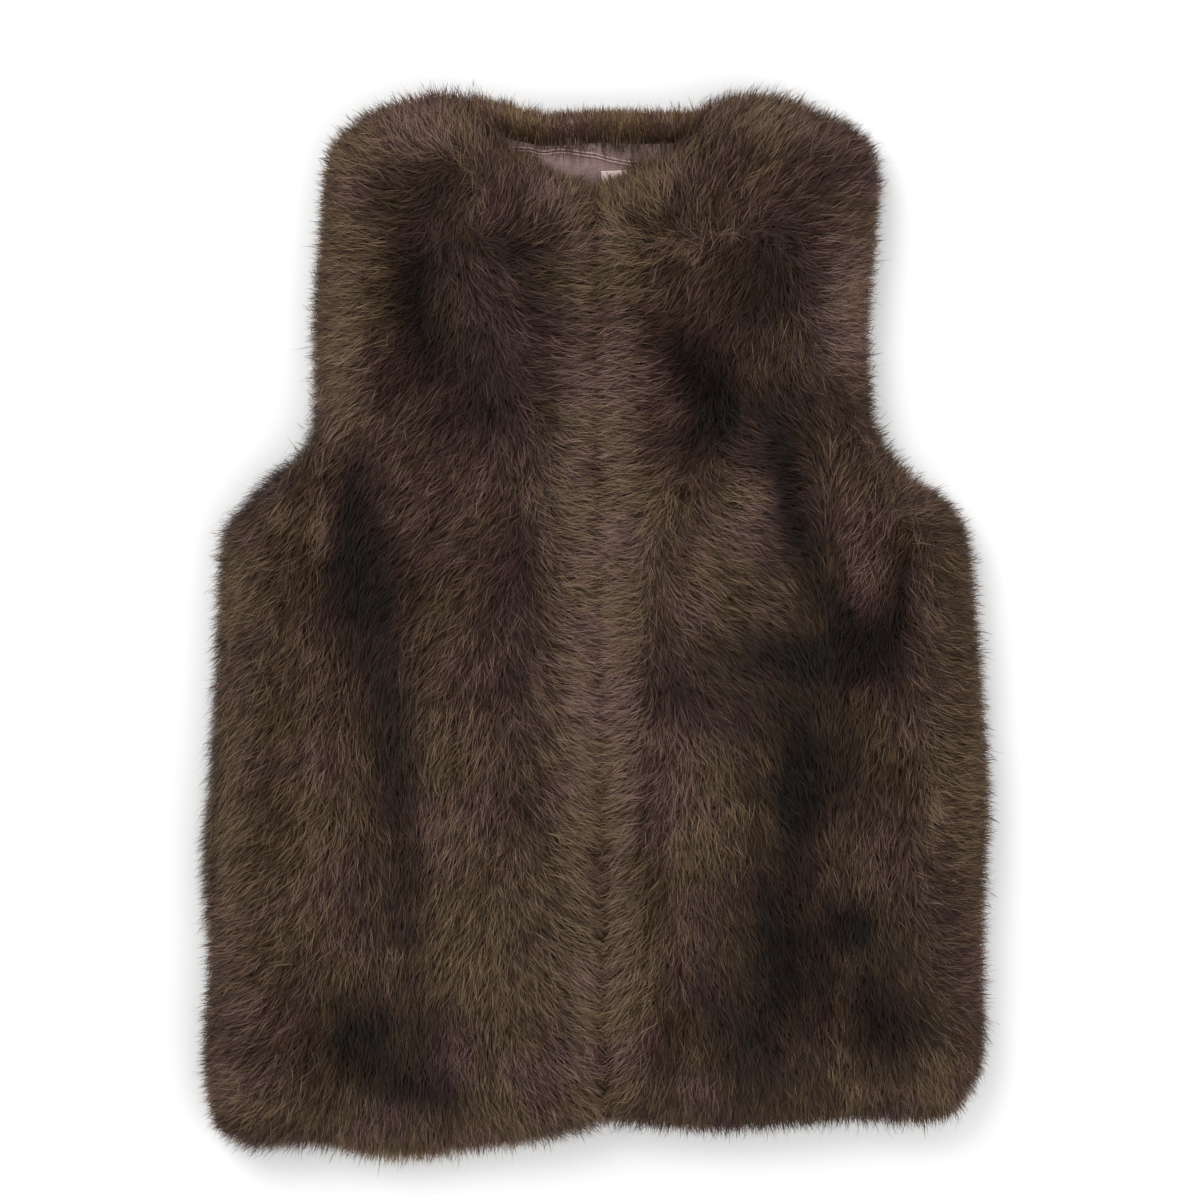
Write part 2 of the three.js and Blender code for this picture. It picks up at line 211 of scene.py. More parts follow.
# How far the seam between facing and lining is pulled up, in mm, at places across the neck.
SEAM_PULL = (
    (-75, 0),
    (-60, 2),
    (-41, 5.5),
    (-30, 5.0),
    (-23, 5.8),
    (-16, 5.2),
    (-8, 3),
    (1, 1),
    (8, -1),
    (20, -3),
    (40, 0),
)
PULL_BELOW = 14 * MM  # the pull dies away over this much of the lining
PULL_ABOVE = 9 * MM  # and over this much of the facing


class FurSettings(bpy.types.PropertyGroup):
    """Sizes of the pile."""

    pile_length: FloatProperty(
        name="Pile length", description="Length of a guard hair", default=24 * MM, unit="LENGTH"
    )
    wool_width: FloatProperty(
        name="Wool width", description="Widest part of a lock of wool", default=0.62 * MM, unit="LENGTH"
    )
    guard_width: FloatProperty(
        name="Guard width", description="Widest part of a lock of guard hair", default=0.3 * MM, unit="LENGTH"
    )
    panel_depth: FloatProperty(
        name="Root depth", description="How deep the wool lies under the tips", default=9 * MM, unit="LENGTH"
    )
    edge_depth: FloatProperty(
        name="Edge depth", description="How far in from an edge the wool ends", default=15 * MM, unit="LENGTH"
    )
    locks_per_front: IntProperty(
        name="Locks on a front", description="Locks of wool, and as many again of guard hair", default=97000
    )
    locks_on_back: IntProperty(
        name="Locks on the back", description="Locks round the back's edges and neck", default=58000
    )
    locks_at_neck: IntProperty(
        name="Locks behind the neck", description="Locks that stand on the rim of the back", default=16000
    )
    locks_under_back: IntProperty(
        name="Pressed locks", description="Locks pressed flat under the back", default=24000
    )
    tuft_size: FloatProperty(
        name="Tuft size", description="Locks within this lean on each other", default=7 * MM, unit="LENGTH"
    )
    seed: IntProperty(name="Seed", description="Start of the random draws", default=4)


def linear(hex_colour):
    """An sRGB colour such as "#806040" as linear red, green and blue."""
    parts = [int(hex_colour[i : i + 2], 16) / 255 for i in (1, 3, 5)]
    return [c / 12.92 if c <= 0.04045 else ((c + 0.055) / 1.055) ** 2.4 for c in parts]


def colour_property(name, description, hex_colour):
    return FloatVectorProperty(
        name=name, description=description, subtype="COLOR", size=3, default=linear(hex_colour)
    )


class ColourSettings(bpy.types.PropertyGroup):
    """Colours of the vest."""

    # Each pile runs from dark to pale by its tone: partly its own colour and partly painted shade in its
    # hollows and painted highlight where the light catches it.
    umber_dark: colour_property("Dark umber", "Umber pile in the deepest hollows", "#1a110a")
    umber: colour_property("Umber", "Umber pile in half light", "#6b4f34")
    umber_pale: colour_property("Pale umber", "Umber pile that catches the light", "#bfa17c")
    mauve_dark: colour_property("Dark mauve", "Mauve pile in the deepest hollows", "#1c110e")
    mauve: colour_property("Mauve", "Mauve pile in half light", "#6a473f")
    mauve_pale: colour_property("Pale mauve", "Mauve pile that catches the light", "#bc958a")
    underfur: colour_property("Underfur", "Short dense wool between the hairs", "#56402f")
    satin: colour_property("Satin", "Lining and facing", "#7d625f")
    # The piping's paleness is a painted highlight, where the satin shines on its taut fold.
    piping: colour_property("Piping", "Satin folded over cord, where it shines", "#b3958f")
    label: colour_property("Label", "Woven label", "#e8d3c8")


class StageSettings(bpy.types.PropertyGroup):
    """Camera and floor."""

    view_width: FloatProperty(
        name="View width", description="Width of floor that the picture shows", default=0.72, unit="LENGTH"
    )
    lens: FloatProperty(name="Lens", description="Focal length in mm", default=100.0)


def add_node(tree, kind, settings=None, inputs=None):
    """Adds a shader node, sets its properties and sets or links its inputs."""
    node = tree.nodes.new(kind)
    for key, value in (settings or {}).items():
        setattr(node, key, value)
    for key, value in (inputs or {}).items():
        if isinstance(value, bpy.types.NodeSocket):
            tree.links.new(value, node.inputs[key])
        else:
            node.inputs[key].default_value = value
    return node


def rgba(colour):
    return (*colour, 1.0)


def new_material(name):
    """A material with only its output, its Principled shader and their link."""
    material = bpy.data.materials.new(name)
    material.use_nodes = True
    tree = material.node_tree
    return material, tree, tree.nodes["Principled BSDF"]


def set_ramp(node, stops):
    """Gives a colour ramp these stops: (position, linear colour)."""
    elements = node.color_ramp.elements
    while len(elements) > 1:
        elements.remove(elements[-1])
    elements[0].position, elements[0].color = stops[0][0], rgba(stops[0][1])
    for position, colour in stops[1:]:
        elements.new(position).color = rgba(colour)


def greys(stops):
    return [(position, (shade,) * 3) for position, shade in stops]


def multiplied(tree, colour, shade):
    """A colour times another. Inputs 6 and 7 and output 2 are the mix node's colours."""
    mix = add_node(
        tree,
        "ShaderNodeMix",
        {"data_type": "RGBA", "blend_type": "MULTIPLY"},
        {"Factor": 1.0, 6: colour, 7: shade},
    )
    return mix.outputs[2]


def colour_by(tree, shader, factor, stops):
    """Colours the shader by a ramp with these stops."""
    shade = add_node(tree, "ShaderNodeValToRGB", inputs={"Fac": factor})
    set_ramp(shade, stops)
    tree.links.new(shade.outputs["Color"], shader.inputs["Base Color"])


def relief_by(tree, shader, height, strength, distance):
    """Raises the shader's surface by this height, as a bump."""
    relief = add_node(
        tree, "ShaderNodeBump", inputs={"Height": height, "Strength": strength, "Distance": distance}
    )
    tree.links.new(relief.outputs["Normal"], shader.inputs["Normal"])


# The fur's map. Across it lie the tints of the locks, umber in its left half and mauve in its right,
# each from dark to pale. Along it runs the way from root to tip.
FUR_MAP = "OFBake"
MAP_HALF = 0.5
MAP_MARGIN = 0.02
MAP_SPAN = 0.46  # of one half, between its margins
TINT_STOPS = (0.02, 0.25, 0.48, 0.52, 0.75, 0.98)
# Dark roots along the map: partly the hair's own colour and partly painted shade under the overlapping locks.
ROOT_TO_TIP = ((0.0, 0.12), (0.45, 0.33), (0.7, 0.67), (1.0, 1.0))  # along the map, and its shade
STREAK_SHADES = ((0.3, 0.35), (0.5, 0.75), (0.68, 1.0))
STREAK_SCALE = (340.0, 1.6, 1.0)  # about three streaks across a lock, and long ones along it


def fur_material():
    """Modacrylic fur cloth, sheared and brushed: dark roots, partly painted shade, matt mauve-brown hair,
    paler taupe tips.
    """
    colours = bpy.context.scene.vest_colours
    material, tree, shader = new_material("modacrylic_fur_brushed")
    place = add_node(tree, "ShaderNodeUVMap", {"uv_map": FUR_MAP})
    split = add_node(tree, "ShaderNodeSeparateXYZ", inputs={"Vector": place.outputs["UV"]})
    tint = add_node(tree, "ShaderNodeValToRGB", inputs={"Fac": split.outputs["X"]})
    umbers = (colours.umber_dark, colours.umber, colours.umber_pale)
    mauves = (colours.mauve_dark, colours.mauve, colours.mauve_pale)
    set_ramp(tint, list(zip(TINT_STOPS, umbers + mauves)))
    # Darker towards the roots: partly the hair's own colour and partly painted shade under the overlapping
    # locks.
    depth = add_node(tree, "ShaderNodeValToRGB", inputs={"Fac": split.outputs["Y"]})
    set_ramp(depth, greys(ROOT_TO_TIP))
    shaded = multiplied(tree, tint.outputs["Color"], depth.outputs["Color"])
    # A real hair is 0.05 mm thick, too fine to show, so each lock carries streaks of 0.1 to 0.3 mm.
    stretch = add_node(tree, "ShaderNodeMapping", inputs={"Vector": place.outputs["UV"]})
    stretch.inputs["Scale"].default_value = STREAK_SCALE
    streaks = add_node(
        tree,
        "ShaderNodeTexNoise",
        {"noise_dimensions": "2D"},
        {"Vector": stretch.outputs["Vector"], "Scale": 1.0, "Detail": 2.0, "Roughness": 0.6},
    )
    streak_shade = add_node(tree, "ShaderNodeValToRGB", inputs={"Fac": streaks.outputs["Fac"]})
    set_ramp(streak_shade, greys(STREAK_SHADES))
    streaked = multiplied(tree, shaded, streak_shade.outputs["Color"])
    tree.links.new(streaked, shader.inputs["Base Color"])
    shader.inputs["Roughness"].default_value = 0.55
    shader.inputs["Specular IOR Level"].default_value = 0.2
    return material


def underfur_material():
    """The short crimped wool of the fur cloth, dark brown between the locks."""
    colours = bpy.context.scene.vest_colours
    material, tree, shader = new_material("modacrylic_underfur")
    place = add_node(tree, "ShaderNodeTexCoord")
    curl = add_node(
        tree,
        "ShaderNodeTexNoise",
        inputs={"Vector": place.outputs["Object"], "Scale": 600.0, "Detail": 3.0, "Roughness": 0.7},
    )
    dark = [c * 0.5 for c in colours.underfur]
    colour_by(tree, shader, curl.outputs["Fac"], [(0.3, dark), (0.7, colours.underfur)])
    relief_by(tree, shader, curl.outputs["Fac"], 0.6, 1 * MM)
    shader.inputs["Roughness"].default_value = 0.9
    return material


def satin_material():
    """Polyester satin, woven with long floats: mauve, with a soft sheen that runs along its creases."""
    colours = bpy.context.scene.vest_colours
    material, tree, shader = new_material("polyester_satin_woven")
    place = add_node(tree, "ShaderNodeTexCoord")
    # Satin has about 40 threads a centimetre. Drawn at 12, the finest that shows.
    stretch = add_node(tree, "ShaderNodeMapping", inputs={"Vector": place.outputs["Object"]})
    stretch.inputs["Scale"].default_value = (300.0, 1200.0, 300.0)
    floats = add_node(
        tree,
        "ShaderNodeTexNoise",
        inputs={"Vector": stretch.outputs["Vector"], "Scale": 1.0, "Detail": 2.0},
    )
    pale = [min(1.0, c * 1.25) for c in colours.satin]
    deep = [c * 0.8 for c in colours.satin]
    colour_by(tree, shader, floats.outputs["Fac"], [(0.35, deep), (0.65, pale)])
    relief_by(tree, shader, floats.outputs["Fac"], 0.15, 0.2 * MM)
    shader.inputs["Roughness"].default_value = 0.38
    shader.inputs["Sheen Weight"].default_value = 0.3
    return material


def label_material():
    """Woven polyester label tape: pale pink, matt, with fine ribs across it and nothing on it."""
    colours = bpy.context.scene.vest_colours
    material, tree, shader = new_material("polyester_label_woven")
    place = add_node(tree, "ShaderNodeTexCoord")
    ribs = add_node(
        tree,
        "ShaderNodeTexWave",
        {"wave_type": "BANDS", "bands_direction": "X"},
        {"Vector": place.outputs["Object"], "Scale": 600.0, "Distortion": 0.4},
    )
    between = [c * 0.86 for c in colours.label]
    colour_by(tree, shader, ribs.outputs["Fac"], [(0.2, between), (0.8, colours.label)])
    relief_by(tree, shader, ribs.outputs["Fac"], 0.3, 0.1 * MM)
    shader.inputs["Roughness"].default_value = 0.6
    return material


def piping_material():
    """Polyester satin cut on the bias and folded over cord: its taut fold is painted paler than the lining, a
    painted highlight where it shines.
    """
    colours = bpy.context.scene.vest_colours
    material, tree, shader = new_material("polyester_satin_piping")
    place = add_node(tree, "ShaderNodeTexCoord")
    pull = add_node(
        tree, "ShaderNodeTexNoise", inputs={"Vector": place.outputs["Object"], "Scale": 700.0, "Detail": 2.0}
    )
    # The paler piping colour is a painted highlight on the fold.
    colour_by(tree, shader, pull.outputs["Fac"], [(0.3, colours.satin), (0.5, colours.piping)])
    shader.inputs["Roughness"].default_value = 0.3
    return material


def thread_material():
    """Twisted polyester sewing thread, pale mauve with a slight gloss, too thin to show its twist."""
    colours = bpy.context.scene.vest_colours
    material, tree, shader = new_material("polyester_thread_twisted")
    place = add_node(tree, "ShaderNodeTexCoord")
    fibres = add_node(
        tree, "ShaderNodeTexNoise", inputs={"Vector": place.outputs["Object"], "Scale": 3000.0}
    )
    pale = [min(1.0, c * 2.0) for c in colours.satin]
    colour_by(tree, shader, fibres.outputs["Fac"], [(0.35, colours.satin), (0.65, pale)])
    shader.inputs["Roughness"].default_value = 0.45
    return material


def material_once(make, name):
    return bpy.data.materials.get(name) or make()


def finish_piece(piece, material, slot, *replaced):
    """Links a new piece into the scene, gives it its finish and lets it ride on the vest."""
    bpy.context.scene.collection.objects.link(piece)
    piece.data.materials.append(material)
    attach(piece, "root")
    if replaced:
        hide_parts(*replaced)
    return piece


def solid_copy(node):
    """The node's faces in a new bmesh, with their shared corners merged."""
    bm = bmesh.new()
    bm.from_mesh(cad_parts[node].data)
    bmesh.ops.remove_doubles(bm, verts=bm.verts, dist=0.01 * MM)
    bm.normal_update()
    return bm


def piece_from(bm, name, smooth=True):
    mesh = bpy.data.meshes.new(name)
    bm.to_mesh(mesh)
    bm.free()
    mesh.shade_smooth() if smooth else mesh.shade_flat()
    return bpy.data.objects.new(name, mesh)


STEEP = 0.8  # a place is on a wall where its normal rises or falls by less than this
FLAT = 0.93  # and lies flat where it rises by more than this
CENTRE_EASE = 14 * MM  # this near the meeting line the wool reaches closer to a front's edge
CENTRE_SHARE = 0.3  # and ends this share as far in
PRESSED_PILE = 4 * MM  # under the back
RECESS_Z = 16.2 * MM  # the back's inner face lies under this, and stays where it is
TURNED_UP_Z = 15.2 * MM  # its turned-up edge lies over this
UNDERCUT = 1.8  # the wool under the back ends this many times as far in
NECK_REACH = 75 * MM  # half the width of the neck


def outer_walls(bm):
    """The places on a panel's outer walls, to look up the nearest, and which way each faces."""
    walls = [v for v in bm.verts if abs(v.normal.z) < STEEP]
    facing = [v for v in walls if v.normal.x * v.co.x + v.normal.y * v.co.y > 0]
    tree = KDTree(len(facing))
    for number, vert in enumerate(facing):
        tree.insert(vert.co, number)
    tree.balance()
    return tree, [Vector((v.normal.x, v.normal.y, 0)).normalized() for v in facing]


def underfur(node):
    """A shell on a fur panel's own form, as deep under its surface as the roots of the pile."""
    fur = bpy.context.scene.vest_fur
    bm = solid_copy(node)
    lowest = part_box(node)[0].z
    on_floor = lowest < 1 * MM
    walls, outward = outer_walls(bm)
    for vert in bm.verts:
        normal, place = vert.normal.copy(), vert.co.copy()
        if on_floor and place.z < RECESS_Z and normal.z > FLAT:
            continue
        sideways = Vector((normal.x, normal.y, 0)) * fur.edge_depth
        # The back's turned-up edge is too narrow to shrink both ways, so it moves in with its wall.
        if on_floor and place.z > TURNED_UP_Z and abs(place.x) > NECK_REACH:
            sideways = outward[walls.find(place)[1]] * fur.edge_depth
        near_centre = max(0.0, 1 - abs(place.x) / CENTRE_EASE)
        if not on_floor and near_centre > 0 and abs(normal.x) > 0.5:
            sideways *= CENTRE_SHARE
        if on_floor and normal.z < 0:
            sideways *= UNDERCUT
        vert.co -= sideways
        if normal.z > 0:
            vert.co.z = max(lowest + 1 * MM, place.z - normal.z * fur.panel_depth)
        elif on_floor:
            vert.co.z = place.z + PRESSED_PILE * -normal.z
    return piece_from(bm, f"underfur_{node}")


def unit(vectors):
    return vectors / np.maximum(np.linalg.norm(vectors, axis=-1, keepdims=True), 1e-9)


SATIN_GRID = 3  # mm between the cuts that let the satin crease
SATIN_CUT_X = range(-81, 84, SATIN_GRID)
SATIN_CUT_Y = range(222, 300, SATIN_GRID)
CREASE_RUN_ON = 0.1  # a crease dies away softly over this share of its length past each end
FACING_PROBE = (6 * MM, 4 * MM)  # corners this near across and this far apart are on its two edges


def crease_height(x, y):
    """How far the satin is raised at a place, all in mm."""
    height = 0.0
    for from_x, from_y, to_x, to_y, width, rise in CREASES:
        start, run = Vector((from_x, from_y)), Vector((to_x - from_x, to_y - from_y))
        along = (Vector((x, y)) - start).dot(run) / run.length_squared
        off = (Vector((x, y)) - start - run * min(max(along, 0), 1)).length
        fade = math.sin(math.pi * min(max(along * (1 - 2 * CREASE_RUN_ON) + CREASE_RUN_ON, 0), 1))
        height = max(height, rise * fade * math.exp(-((off / width) ** 2)))
    return height


def facing_edge(side):
    """The facing's upper (1) or lower (-1) edge, from left to right."""
    bm = solid_copy("neck_facing")
    tops = [v.co.copy() for v in bm.verts if v.normal.z > 0]
    bm.free()
    near, apart = FACING_PROBE
    return sorted(
        (c for c in tops if any(abs(o.x - c.x) < near and (c.y - o.y) * side > apart for o in tops)),
        key=lambda c: c.x,
    )


def pulled_seam(place, seam):
    """The place after the cloth round the seam is pulled up or down."""
    above = place.y - float(np.interp(place.x, [c.x for c in seam], [c.y for c in seam]))
    pull = float(np.interp(place.x / MM, *zip(*SEAM_PULL))) * MM
    reach = PULL_BELOW if above < 0 else PULL_ABOVE
    return place + Vector((0, pull * max(0.0, 1 - abs(above) / reach), 0))


def creased_satin(node, name):
    """A satin piece on its solid's own form, with its creases at the neck."""
    bm = solid_copy(node)
    lowest_cut = SATIN_CUT_Y[0] * MM
    cuts = [((x * MM, 0, 0), (1, 0, 0)) for x in SATIN_CUT_X]
    cuts += [((0, y * MM, 0), (0, 1, 0)) for y in SATIN_CUT_Y]
    cuts.insert(0, ((0, lowest_cut, 0), (0, 1, 0)))
    for place, normal in cuts:
        near = [f for f in bm.faces if f.calc_center_median().y > lowest_cut - 1 * MM]
        if normal[1] and place[1] == lowest_cut:
            near = bm.faces[:]
        geometry = near + list({e for f in near for e in f.edges}) + list({v for f in near for v in f.verts})
        bmesh.ops.bisect_plane(bm, geom=geometry, dist=0.001 * MM, plane_co=place, plane_no=normal)
    seam = facing_edge(-1)
    for vert in bm.verts:
        if vert.co.y > lowest_cut:
            vert.co = pulled_seam(vert.co, seam)
        vert.co.z += crease_height(vert.co.x / MM, vert.co.y / MM) * MM
    bm.normal_update()
    return piece_from(bm, name)


def tube(bm, route, radius, sides=8):
    """A round closed tube along a route."""
    rings = []
    for i, place in enumerate(route):
        run = route[min(i + 1, len(route) - 1)] - route[max(i - 1, 0)]
        turn = run.to_track_quat("Z", "Y").to_matrix().to_4x4()
        matrix = Matrix.Translation(place) @ turn
        capped = i in (0, len(route) - 1)
        made = bmesh.ops.create_circle(bm, cap_ends=False, radius=radius, segments=sides, matrix=matrix)
        edges = list({e for v in made["verts"] for e in v.link_edges})
        if rings:
            bmesh.ops.bridge_loops(bm, edges=rings[-1] + edges)
        if capped:
            bmesh.ops.contextual_create(bm, geom=edges)
        rings.append(edges)
    bmesh.ops.recalc_face_normals(bm, faces=bm.faces)


def surface_of(node):
    """Corners, corner normals and areas of the triangles of a fur panel's solid."""
    bm = solid_copy(node)
    bmesh.ops.triangulate(bm, faces=bm.faces)
    bm.normal_update()
    places = np.array([[vert.co for vert in face.verts] for face in bm.faces])
    normals = np.array([[vert.normal for vert in face.verts] for face in bm.faces])
    areas = np.array([face.calc_area() for face in bm.faces])
    bm.free()
    return places, normals, areas


def scatter(node, count, rng, weight):
    """Places spread over a panel's surface by area times weight(middle, normal), with their normals."""
    corners, normals, areas = surface_of(node)
    middle = corners.mean(1)
    share = areas * weight(middle, unit(normals.mean(1)))
    chosen = rng.choice(len(areas), count, p=share / share.sum())
    u, v = rng.random((2, count))
    over = u + v > 1
    u[over], v[over] = 1 - u[over], 1 - v[over]
    parts = np.stack([1 - u - v, u, v], 1)[:, :, None]
    return (corners[chosen] * parts).sum(1), unit((normals[chosen] * parts).sum(1))


def chart_lookup(stations, rows, x, y):
    """Reads one front's combing chart at places in mm, as directions across and up."""
    levels = np.array([row[0] for row in rows], float)[::-1]
    headings = np.radians(np.array([row[1] for row in rows], float))[::-1]
    stations = np.array(stations, float)
    i = np.clip(np.searchsorted(levels, y) - 1, 0, len(levels) - 2)
    j = np.clip(np.searchsorted(stations, x) - 1, 0, len(stations) - 2)
    fy = np.clip((y - levels[i]) / (levels[i + 1] - levels[i]), 0, 1)
    fx = np.clip((x - stations[j]) / (stations[j + 1] - stations[j]), 0, 1)
    total = np.zeros((len(x), 2))
    for di, wy in ((0, 1 - fy), (1, fy)):
        for dj, wx in ((0, 1 - fx), (1, fx)):
            heading = headings[i + di, j + dj]
            total += np.stack([np.cos(heading), np.sin(heading)], 1) * (wx * wy)[:, None]
    return unit(total)


# Where the outline's pile differs
NECK_Y = 200 * MM
BACK_NECK_Y = 250 * MM
SHOULDER_Y = 280 * MM
LEFT_SIDE_X = -190 * MM
HEM_Y = -250 * MM

MEETING_SPILL = 24 * MM  # this near the meeting line the pile leans over it
MEETING_CROSS = 7 * MM  # by up to this much
FRINGE = 2.8 * MM  # how unevenly the locks on the outline stand out
FRINGE_MIDDLE = 0.5 * MM  # and how far they do on the whole
NECK_FRINGE = 0.4  # they do so this share as much at the neck
LEFT_FULLER = 2 * MM  # and at the viewer's left this much further
SHOULDER_RISE = 6 * MM  # and up to this much further at the top of the shoulders
SHOULDER_TILT = 0.1  # where they face the neck by more than this
HEM_FALL = 20 * MM  # the fronts' pile falls up to this far over their hem
HEM_TILT = 0.5  # where it faces down by more than this
WALL_SOFTNESS = 1.4  # how soon a surface that turns down counts as a wall
WALL_WEIGHT, WALL_EXTRA = 1.8, 0.8  # walls carry 1.8 times as many locks as flat cloth
UNDERSIDE = -0.5  # no locks grow on the fronts where they face down by more than this
NECK_SPILL = 7 * MM  # the fronts' pile stands up to this far over their neck edges
# But it stands back round these places, where label and facing show: x, y, reach and by how much.
NECK_BARED = (
    (40 * MM, 287 * MM, 22 * MM, 7 * MM),
    (-54 * MM, 292 * MM, 16 * MM, 9 * MM),
)
MEETING_X = 1.5 * MM
MEETING_SLANT = 0.0105


def meeting_line(y):
    """Where the fronts meet at this level."""
    return MEETING_X - y * MEETING_SLANT


def combed(places):
    """The way that the pile lies at each place, as level directions."""
    x, y = places[:, 0] / MM, places[:, 1] / MM
    right = chart_lookup(RIGHT_STATIONS, [(r[0], r[1]) for r in COMBING], x, y)
    left = chart_lookup(LEFT_STATIONS, [(r[0], r[2]) for r in COMBING], x, y)
    level = np.where((x < meeting_line(places[:, 1]) / MM)[:, None], right, left)
    return np.concatenate([level, np.zeros((len(x), 1))], 1)


def patch_sum(patches, places):
    """How much the listed patches change the pile at each place."""
    x, y = places[:, 0] / MM, places[:, 1] / MM
    total = np.zeros(len(x))
    for at_x, at_y, half_x, half_y, turn, change in patches:
        c, s = math.cos(math.radians(turn)), math.sin(math.radians(turn))
        across = ((x - at_x) * c + (y - at_y) * s) / half_x
        along = ((y - at_y) * c - (x - at_x) * s) / half_y
        total += change * np.exp(-(across**2 + along**2))
    return total


def mottle(places, size, offset):
    """Soft noise of about this size, from -1 to 1."""
    return np.array([noise.noise(Vector(p) / size + Vector((offset, 0, 0))) for p in places])


BASE_TONE = 0.40
DARKEST_TONE = 0.03
PATCH_STRENGTH = 1.15
MOTTLING = 0.12  # strength of the soft noise over the patches
MOTTLES = ((45 * MM, 3), (13 * MM, 8))  # the sizes of its clouds, and where the noise is read
MAUVE_MOTTLE = (30 * MM, 17)
MAUVE_MOTTLING = 0.8
MAUVE_SPREAD = 0.35  # how mixed the umber and mauve locks are
MAUVE_FROM = 0.15


def tone_of(places):
    """How pale the pile is at each place, from 0 to 1: the pile's own tone, with painted shade in the hollows
    and painted highlight on the swells.
    """
    tone = BASE_TONE + PATCH_STRENGTH * patch_sum(PATCHES, places)
    for size, offset in MOTTLES:
        tone = tone + MOTTLING * mottle(places, size, offset)
    return tone


def varied(tone, paler, spread, rng):
    """Tones made paler and spread out, the more so the paler that they are."""
    tone = np.clip(tone, DARKEST_TONE, 1)
    return tone * (1 + paler + rng.normal(0, spread, len(tone)))


def tint_of(places, tone, rng):
    """Where on the tint map each lock lies: its umber or mauve half, then its tone within that."""
    lean = patch_sum(MAUVE_PATCHES, places) + MAUVE_MOTTLING * mottle(places, *MAUVE_MOTTLE)
    mauve = lean + rng.normal(0, MAUVE_SPREAD, len(places)) > MAUVE_FROM
    return np.where(mauve, MAP_HALF, 0.0) + MAP_MARGIN + MAP_SPAN * np.clip(tone, 0, 1)


TUFT_BLUR = 0.22  # how ragged the tufts' borders are, as a share of their size
TUFT_TURN = 0.18  # radians by which whole tufts turn off the combing
TUFT_LEAN = 0.08  # and by which they lean more or less
TUFT_LENGTH, LOCK_LENGTH = 0.06, 0.10  # shares by which tufts and locks are longer or shorter
TUFT_PULL = 0.22  # the most of the way to the middle of its tuft that a tip is drawn
TIP_DEPTH = (1.6, 1.2 * MM)  # how deep tips end, as the shape and scale of a gamma spread
LEAST_LEAN = 0.2  # pile that is combed straight into or out of the cloth leans by this share
LEAN_STRAY = 1.1  # locks stray this many times as far in their lean as in their turn


def tufts(places, size, rng):
    """Gives each root the number of its tuft."""
    cells = np.floor((places + rng.normal(0, size * TUFT_BLUR, places.shape)) / size).astype(int)
    return np.unique(cells, axis=0, return_inverse=True)[1].ravel()


def tuft_mean(values, tuft):
    count = np.bincount(tuft)
    means = np.stack([np.bincount(tuft, values[:, i]) / count for i in range(values.shape[1])], 1)
    return means[tuft]


def turned(directions, angle):
    """Level directions turned anticlockwise."""
    c, s = np.cos(angle), np.sin(angle)
    x, y = directions[:, 0], directions[:, 1]
    return np.stack([x * c - y * s, x * s + y * c, directions[:, 2]], 1)


def grow(surface, normals, flow, length, lean, rng, size, stray, proud):
    """Three points of each lock: root, middle and tip. Its tip lies near a place on the surface, proud
    of it by so much. lean gives the angles that its lower and upper half make with the normal there, in
    radians, stray how far locks stray from them, and size the tufts that locks gather in."""
    count = len(surface)
    tuft = tufts(surface, size, rng)
    per_tuft = rng.normal(0, 1, (tuft.max() + 1, 3))[tuft]
    flow = turned(flow, per_tuft[:, 0] * TUFT_TURN + rng.normal(0, stray, count))
    along = flow - normals * (flow * normals).sum(1, keepdims=True)
    reach = np.clip(np.linalg.norm(along, axis=1), LEAST_LEAN, 1)
    along = unit(along + 1e-6)
    length = length * (1 + TUFT_LENGTH * per_tuft[:, 1] + rng.normal(0, LOCK_LENGTH, count))
    tip = surface + normals * (proud - rng.gamma(*TIP_DEPTH, count))[:, None]
    tip += (tuft_mean(tip, tuft) - tip) * rng.uniform(0.0, TUFT_PULL, count)[:, None]
    points = [tip]
    for angle in reversed(lean):
        angle = (angle + per_tuft[:, 2] * TUFT_LEAN + rng.normal(0, stray * LEAN_STRAY, count)) * reach
        step = normals * np.cos(angle)[:, None] + along * np.sin(angle)[:, None]
        points.insert(0, points[0] - step * (length / len(lean))[:, None])
    return points


SEAM_SAG = 6 * MM  # the pile at the side seams spreads up and down over them by about this
SWING_SHARES = (0.35, 1.0)  # of it that a lock's middle and its tip take


def swing(points, rise):
    """Bends locks up or down towards their tips."""
    for place, share in zip(points[1:], SWING_SHARES):
        place[:, 2] += rise * share


FLOOR_CLEARANCE = 0.4 * MM
MAP_HALF_WIDTH = 0.004  # half of a lock's width on the map


def lock_mesh(name, points, normals, width, tint, root_shade=0.0):
    """Joined locks from arrays. Each is a bent leaf: a root, two sides half way and a tip. root_shade is
    where on the map's way from root to tip the leaf starts."""
    root, middle, tip = points
    side = unit(np.cross(unit(tip - root), normals) + 1e-6) * width[:, None] / 2
    verts = np.stack([root, middle - side, middle + side, tip], 1)
    verts[:, :, 2] = np.maximum(verts[:, :, 2], FLOOR_CLEARANCE)
    faces = [(0, 2, 1), (1, 2, 3)]
    map_x = tint[:, None] + np.array([0, -1, 1, 0]) * MAP_HALF_WIDTH
    map_y = np.tile(root_shade + (1 - root_shade) * np.array([0.0, 0.5, 0.5, 1.0]), (len(width), 1))
    return array_mesh(name, verts, faces, map_x, map_y)


